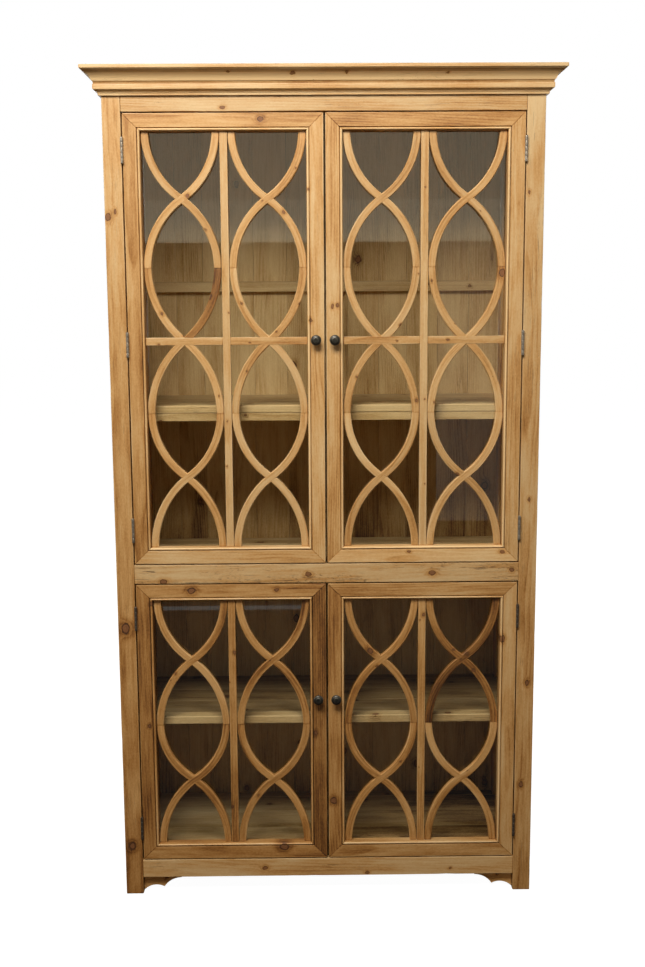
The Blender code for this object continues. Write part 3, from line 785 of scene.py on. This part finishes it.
def member_section(depth, lip):
    """A door frame's member: flat face, quirk, raised bead along the glass, and the rebate behind.

    lip is how far its rear part stands out towards the other door of a pair.
    """
    # The quirk's points carry painted shade; the bead's crest, also rubbed, carries a painted highlight.
    bead = [(0.0368, 0.0000), (0.0373, 0.0003), (0.0378, 0.0016, GROOVE_SHADE), (0.0382, 0.0032, GROOVE_SHADE),
            (0.0392, 0.0034, GROOVE_SHADE), (0.0396, 0.0020, GROOVE_SHADE), (0.0403, 0.0007),
            (0.0411, -0.0003, CREST_HIGHLIGHT), (0.0421, -0.0008, CREST_HIGHLIGHT), (0.0432, -0.0010, CREST_HIGHLIGHT),
            (0.0443, -0.0006, CREST_HIGHLIGHT), (0.0453, 0.0002, CREST_HIGHLIGHT), (0.0461, 0.0014), (0.0467, 0.0032),
            (MEMBER, 0.0055)]
    rebate = MEMBER - REBATE
    rest = [(MEMBER, depth - 0.007), (rebate, depth - 0.007), (rebate, depth - 0.0008),
            (rebate - 0.0008, depth), (0.0012, depth), (0.0003 - lip, depth - 0.0004)]
    if lip:
        # The lip's faces in the gap carry painted shade near black.
        rest += [(-lip, depth - 0.0012, SLOT_SHADE), (-lip, depth * 0.40, SLOT_SHADE),
                 (0.0, depth * 0.40 - 0.0003, SLOT_SHADE), (0.0, depth * 0.22, SLOT_SHADE)]
    else:
        rest.append((0.0, depth - 0.0012))
    rest += [(0.0, 0.0014), (0.0004, 0.0004), (0.0014, 0.0)]
    return [(v - MEMBER / 2, w - depth / 2, *mark) for v, w, *mark in bead + rest]


MEMBERS = ("hinge", "meeting", "top", "bottom")
# Shade and brightness of each member, and the shade added at an upright's lower end
DOOR_LOOK = {
    "door_upper_left": ((0.05, 1.02, 0.14), (-0.14, 1.04, 0.07), (0.03, 1.01), (-0.16, 1.09)),
    "door_upper_right": ((-0.05, 1.02, -0.04), (-0.06, 1.01, 0.10), (0.11, 0.99), (-0.16, 1.15)),
    "door_lower_left": ((0.30, 0.92), (0.41, 0.88), (0.08, 0.97), (0.29, 1.0)),
    "door_lower_right": ((0.03, 1.0), (0.25, 0.98), (0.06, 0.97), (0.01, 1.0)),
}
DOOR_KNOTS = {
    "door_upper_left_top": ((-0.172, 2.227, 0.0062),),
    "door_upper_left_meeting": ((-0.048, 2.042, 0.0030), (-0.040, 1.688, 0.0040)),
    "door_upper_right_bottom": ((0.235, 1.032, 0.0035), (0.501, 1.030, 0.0050)),
    "door_upper_right_meeting": ((0.020, 1.725, 0.0045), (0.034, 1.727, 0.0035)),
    "door_lower_left_top": ((-0.387, 0.922, 0.0080), (-0.143, 0.922, 0.0045)),
    "door_lower_left_hinge": ((-0.503, 0.885, 0.0040), (-0.520, 0.520, 0.0035)),
    "door_lower_left_bottom": ((-0.129, 0.142, 0.0095),),
    "door_lower_left_meeting": ((-0.034, 0.494, 0.0050),),
    "door_lower_right_hinge": ((0.505, 0.773, 0.0075),),
    "door_lower_right_meeting": ((0.017, 0.286, 0.0070),),
}


def door_frame(name, side):
    """Four mitred members round the glass."""
    (x0, face, z0), (x1, back, z1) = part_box(name + "_frame")
    depth = back - face
    first, second = ("hinge", "meeting") if side == "left" else ("meeting", "hinge")
    edges = {
        first: (Vector((x0, 0, z0)), Vector((x0, 0, z1)), X),
        second: (Vector((x1, 0, z0)), Vector((x1, 0, z1)), -X),
        "top": (Vector((x0, 0, z1)), Vector((x1, 0, z1)), -Z),
        "bottom": (Vector((x0, 0, z0)), Vector((x1, 0, z0)), Z),
    }
    for place, (start, end, inward) in edges.items():
        shade, bright, *low_shade = DOOR_LOOK[name][MEMBERS.index(place)]
        member = Timber(name + "_" + place, shade, bright, 0.25)
        u_dir = (end - start).normalized()
        centre = (start + end) / 2 + inward * MEMBER / 2 + Y * (face + depth / 2)
        section = member_section(depth, MEETING_LIP if place == "meeting" else 0.0)
        member.straight(centre, u_dir, inward, Y, (end - start).length, MEMBER, depth,
                        places=DOOR_KNOTS.get(member.name, ()), cuts=(1.0, 1.0), section=section,
                        wear=0.0004, spacing=0.022, fade=(sum(low_shade), 0.0))
        nodes = (name + "_frame",) if place == "hinge" else ()
        member.finish(name, *nodes)


# Shade and brightness of the bars that differ from the rest, and knots placed on some
BAR_LOOK = {
    "door_upper_left_bar_a2": (0.40, 0.88),
    "door_upper_right_bar_b2": (0.06, 1.0),
    "door_lower_right_bar_b1": (0.40, 0.88),
    "door_lower_right_bar_b3": (0.25, 0.95),
    "door_lower_left_bar_a3": (0.04, 1.0),
}
BAR_KNOTS = {
    "door_upper_left_bar_a1": ((-0.022, 0.003, 0.0035),),
    "door_upper_right_bar_b2": ((-0.098, 0.002, 0.0080),),
    "door_lower_right_bar_a3": ((-0.045, 0.0, 0.0065),),
}
# The shade added at the mullion's lower end
MULLION_FOOT = {"door_upper_left": -0.14, "door_upper_right": -0.12, "door_lower_left": 0.16,
                "door_lower_right": -0.12}


def lattice(name, tier):
    """The fretwork: a mullion, a cross bar on the tall doors, and pairs of bars that cross."""
    (x0, y0, z0), (x1, y1, z1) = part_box(name + "_lattice")
    middle = (x0 + x1) / 2
    base = -0.04 if tier == "upper" else 0.15
    mullion = Timber(name + "_mullion", base - 0.02, 1.02, 0.3)
    spots = scatter(mullion.dice, z1 - z0, BAR, 3, 0.0040)
    mullion.board((middle - BAR / 2, y0, z0), (middle + BAR / 2, y1, z1), "z", "x", knots=spots,
                  fade=(MULLION_FOOT[name], 0.0))
    mullion.finish(name, name + "_lattice")
    if tier == "upper":
        bar = Timber(name + "_cross_bar", base + 0.04, 1.0, 0.3)
        z_low, z_high = CROSS_BAR_LEVEL - BAR / 2, CROSS_BAR_LEVEL + BAR / 2
        for a, b in ((x0, middle - BAR / 2 + 0.0002), (middle + BAR / 2 - 0.0002, x1)):
            bar.board((a, y0 + 0.0003, z_low), (b, y1 - 0.0003, z_high), "x", "z",
                      knots=scatter(bar.dice, b - a, BAR, 1, 0.003))
        bar.finish(name)
    levels = UPPER_LEVELS if tier == "upper" else LOWER_LEVELS
    stations = [z1 - 0.0002, *levels, z0 + 0.0002]
    for column, left, right in (("a", x0, middle - BAR / 2), ("b", middle + BAR / 2, x1)):
        centre = (left + right) / 2
        amplitude = (right - left - BAR) / 2
        number = 0
        for lean, sunk in zip((1, -1), HALVING):
            for i in range(0, len(stations) - 2, 2):
                line = sway(lean, amplitude, *stations[i:i + 3])
                runs = [line]
                if abs(stations[i + 1] - CROSS_BAR_LEVEL) < 0.01:
                    runs = [line[:CURVE_STEPS + 1], line[CURVE_STEPS:]]
                for run in runs:
                    number += 1
                    label = f"{name}_bar_{column}{number}"
                    dice = random.Random(label)
                    look = (base + dice.uniform(-0.05, 0.09), dice.uniform(0.95, 1.06))
                    bar = Timber(label, *BAR_LOOK.get(label, look), 0.25)
                    knots = BAR_KNOTS.get(label)
                    if knots is None:
                        knots = scatter(dice, 0.3, BAR, dice.choice((0, 0, 1, 1, 2)), 0.0035)
                    width = BAR - (0.0004 if lean > 0 else 0.0008)
                    bar.curved([(centre + x, z) for x, z in run], (y0 + y1) / 2, width,
                               y1 - y0 - 2 * sunk, knots)
                    bar.finish(name)


def turned(profile, steps=40):
    """A solid of revolution about +Z, from (radius, height) points on and off the axis."""
    points, faces, rings = [], [], []
    for radius, height in profile:
        if radius == 0.0:
            rings.append([len(points)])
            points.append((0.0, 0.0, height))
            continue
        rings.append(list(range(len(points), len(points) + steps)))
        points += [(x, y, height) for x, y in arc((0, 0), radius, 0, math.tau, steps)[:-1]]
    for lower, upper in zip(rings, rings[1:]):
        for i in range(steps):
            j = (i + 1) % steps
            if len(lower) == 1:
                faces.append((lower[0], upper[j], upper[i]))
            elif len(upper) == 1:
                faces.append((lower[i], lower[j], upper[0]))
            else:
                faces.append((lower[i], lower[j], upper[j], upper[i]))
    return points, faces


def knob(name):
    """A turned knob: a domed head with a small flat disc, a neck and a round foot."""
    low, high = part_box(name + "_knob")
    length = high[1] - low[1]
    top = (high[0] - low[0]) / 2
    head = ((0.0, 0.0), (0.0060, 0.0), (0.0080, 0.0002), (0.0086, 0.0008), (0.0088, 0.0014),
            (0.0094, 0.0016), (0.0112, 0.0021), (0.0128, 0.0031), (0.0140, 0.0044),
            (top - 0.0002, 0.0060), (top, 0.0074), (top - 0.0004, 0.0088), (0.0134, 0.0104),
            (0.0112, 0.0120), (0.0084, 0.0132), (0.0068, 0.0150))
    foot = [(0.0060, 0.0096), (0.0061, 0.0070), (0.0070, 0.0045), (0.0084, 0.0030),
            (0.0091, 0.0022), (0.0092, 0.0008), (0.0090, 0.0), (0.0, 0.0)]
    profile = [(radius, length - behind) for radius, behind in head] + foot
    points, faces = turned(profile)
    place = Matrix.Translation(((low[0] + high[0]) / 2, high[1], (low[2] + high[2]) / 2))
    mesh = new_mesh(name + "_knob_turned", points, faces)
    mesh.transform(place @ Matrix.Rotation(math.radians(90), 4, "X"))
    place_mesh(mesh.name, mesh, name, (name + "_knob",), "dark_bronze", 50.0, False)


class Metal:
    """Several closed shapes gathered into one mesh."""

    def __init__(self):
        self.points, self.faces = [], []

    def add(self, points, faces, place=Matrix.Identity(4)):
        first = len(self.points)
        self.points += [tuple(place @ Vector(p)) for p in points]
        self.faces += [tuple(first + i for i in face) for face in faces]

    def plate(self, x0, x1, y0, y1, z0, z1, ease=0.0002):
        """A thin plate across X with eased edges."""
        outline = [(y0 + ease, z0), (y1 - ease, z0), (y1, z0 + ease), (y1, z1 - ease), (y1 - ease, z1),
                   (y0 + ease, z1), (y0, z1 - ease), (y0, z0 + ease)]
        count = len(outline)
        points = [(x0, y, z) for y, z in outline] + [(x1, y, z) for y, z in outline]
        faces = [tuple(range(count)), tuple(range(2 * count - 1, count - 1, -1))]
        faces += [(i, (i + 1) % count, count + (i + 1) % count, count + i) for i in range(count)]
        self.add(points, faces)

    def finish(self, name, body, node):
        mesh = new_mesh(name, self.points, self.faces)
        place_mesh(name, mesh, body, (node,), "aged_steel", 40.0, False)


def hinge(label, door, sign, fixed):
    """Half a butt hinge: its leaf, its knuckles with eased ends, and the pin on the fixed half."""
    node = ("hinge_fixed_leaf_" if fixed else "hinge_door_leaf_") + label
    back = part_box(node)[1][1]
    bottom, top = (corner[2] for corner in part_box("hinge_fixed_leaf_" + label))
    axis_x = sign * (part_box("front_post_right")[0][0] - PIN_INSET)
    axis_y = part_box("front_post_left")[0][1] - PIN_PROUD
    axis = Matrix.Translation((axis_x, axis_y, 0))
    pitch = (top - bottom) / KNUCKLES
    metal = Metal()
    outward = sign if fixed else -sign
    x0 = axis_x + outward * 0.5 * FITTING
    x0, x1 = sorted((x0, x0 + outward * LEAF))
    metal.plate(x0, x1, axis_y + PIN_PROUD + 0.0002, back, bottom, top)
    radius, steps = KNUCKLE_RADIUS, 24
    for i in range(KNUCKLES):
        if (i % 2 == 0) != fixed:
            continue
        z1 = top - i * pitch - 0.00015
        z0 = z1 - pitch + 0.0003
        profile = [(0.0021, z1), (radius - 0.0006, z1), (radius - 0.0001, z1 - 0.0004),
                   (radius, z1 - 0.0009), (radius, z0 + 0.0009), (radius - 0.0001, z0 + 0.0004),
                   (radius - 0.0006, z0), (0.0021, z0)]
        points, faces = turned(profile, steps)
        last = (len(profile) - 1) * steps
        faces += [(last + j, last + (j + 1) % steps, (j + 1) % steps, j) for j in range(steps)]
        metal.add(points, faces, axis)
        metal.plate(x0, x1, axis_y + 0.0030, axis_y + PIN_PROUD + 0.0008, z0, z1, 0.0001)
    if fixed:
        pin = [(0.0, top), (0.0012, top), (0.0018, top - 0.0004), (0.0018, bottom + 0.0004),
               (0.0012, bottom), (0.0, bottom)]
        points, faces = turned(pin, 16)
        metal.add(points, faces, axis)
    metal.finish(node + "_shaped", "cabinet" if fixed else door, node)


def doors():
    for tier in ("upper", "lower"):
        places = ("top", "middle", "bottom") if tier == "upper" else ("top", "bottom")
        for side, sign in SIDES.items():
            name = f"door_{tier}_{side}"
            door_frame(name, side)
            lattice(name, tier)
            knob(name)
            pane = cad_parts[name + "_glass"]
            pane.data.materials.clear()
            pane.data.materials.append(GLASS)
            for place in places:
                for fixed in (True, False):
                    hinge(f"{tier}_{side}_{place}", name, sign, fixed)


# ---- Studio ----

def camera():
    """The photograph's standpoint: a little left of the middle, at eye height, looking down a little."""
    yaw, pitch, roll = math.radians(0.589), math.radians(8.772), math.radians(0.337)
    turn = Matrix.Rotation(-yaw, 4, "Z") @ Matrix.Rotation(math.pi / 2 - pitch, 4, "X")
    turn = turn @ Matrix.Rotation(-roll, 4, "Z")
    lens = bpy.data.cameras.new("camera")
    lens.lens = 44.86
    lens.sensor_width = 36.0
    view = new_object("camera", lens)
    view.matrix_world = Matrix.Translation((-0.045, -3.5638, 1.7495)) @ turn
    bpy.context.scene.camera = view


def lamp(name, place, target, width, height, power, colour=(1, 1, 1)):
    """A soft lamp that the camera does not see."""
    light = bpy.data.lights.new(name, "AREA")
    light.shape = "RECTANGLE"
    light.size, light.size_y = width, height
    light.energy = power
    light.color = colour
    holder = new_object(name, light)
    holder.location = place
    aim = Vector(target) - Vector(place)
    holder.rotation_euler = aim.to_track_quat("-Z", "Y").to_euler()
    holder.visible_camera = False
    return holder


def pale_floor():
    """A plain pale floor, which neither lights the cabinet nor shows in its glass."""
    g = Graph("pale_floor")
    place = g.node("TexCoord").outputs["Object"]
    away = g.vector("LENGTH", g.vector("MULTIPLY", place, (1, 1, 0)))
    glow = g.span(away, 0.3, 2.0, 0.975, 1.0)
    paint = g.node("BsdfDiffuse", {"Color": (0.20, 0.20, 0.20, 1.0)})
    bright = g.node("Emission", {"Color": (1, 1, 1, 1), "Strength": glow})
    both = g.node("AddShader", {0: paint.outputs[0], 1: bright.outputs[0]})
    g.output(both.outputs[0])
    ring = [(x, y, -0.0005) for x, y in arc((0, 0), 40, 0, math.tau, 64)[:-1]]
    mesh = new_mesh("floor", ring, [tuple(range(64))])
    mesh.materials.append(g.material)
    floor = new_object("floor", mesh)
    floor.visible_diffuse = floor.visible_glossy = floor.visible_transmission = False


def studio():
    """White beyond the floor, soft lamps, and the pale room that shows in the glass."""
    world = bpy.data.worlds.new("studio")
    world.use_nodes = True
    background = world.node_tree.nodes["Background"].inputs
    background[0].default_value = (1, 1, 1, 1)
    background[1].default_value = 1.0
    seen = world.cycles_visibility
    seen.diffuse = seen.glossy = seen.transmission = False
    bpy.context.scene.world = world

    lamp("key", (-0.7, -2.45, 3.9), (0.0, 0.0, 1.2), 2.2, 1.2, 151, (1.0, 0.985, 0.985))
    for reflected in (
            ("bright_wall", (0.0, -6.2, 3.82), (0.0, 0.0, 3.82), 9.0, 3.3, 92, (1.0, 0.91, 0.68)),
            ("wall_ledge", (0.0, -6.1, 2.33), (0.0, 0.0, 2.33), 9.0, 0.30, 2.2, (1.0, 0.91, 0.68)),
            ("side_window", (2.05, -6.2, 1.08), (2.05, 0.0, 1.08), 2.2, 2.18, 4.5, (1.0, 0.92, 0.80)),
            ("floor_sheen", (0.0, -2.1, 0.01), (0.0, -2.1, 3.0), 5.0, 3.0, 2.6, (0.85, 0.95, 1.0)),
            ("floor_strip", (-0.5, -3.41, 0.02), (-0.5, -3.41, 3.0), 0.8, 0.09, 0.10, (0.85, 0.95, 1.0))):
        lamp(*reflected).visible_diffuse = False
    for matt in (
            ("floor_bounce", (0.0, -3.2, 0.05), (0.0, -0.2, 1.0), 5.0, 2.0, 12, (1.0, 0.70, 0.42)),
            ("front_fill", (0.0, -4.6, 2.4), (0.0, 0.0, 1.2), 3.4, 2.4, 11, (1.0, 0.96, 0.90))):
        lamp(*matt).visible_glossy = False
    lamp("left_fill", (-5.0, 0.8, 2.4), (0.0, 0.2, 1.1), 4.0, 3.0, 110)
    lamp("right_fill", (5.0, 0.8, 2.4), (0.0, 0.2, 1.1), 4.0, 3.0, 100)
    lamp("back_fill", (0.0, 5.0, 2.6), (0.0, 0.0, 1.1), 4.0, 3.0, 140)
    bpy.context.scene.view_settings.view_transform = "Standard"


posts()
face_rails()
side_panels()
top_board()
shelves()
inside_rails()
back_boards()
crown()
foot_brackets()
doors()
camera()
pale_floor()
studio()
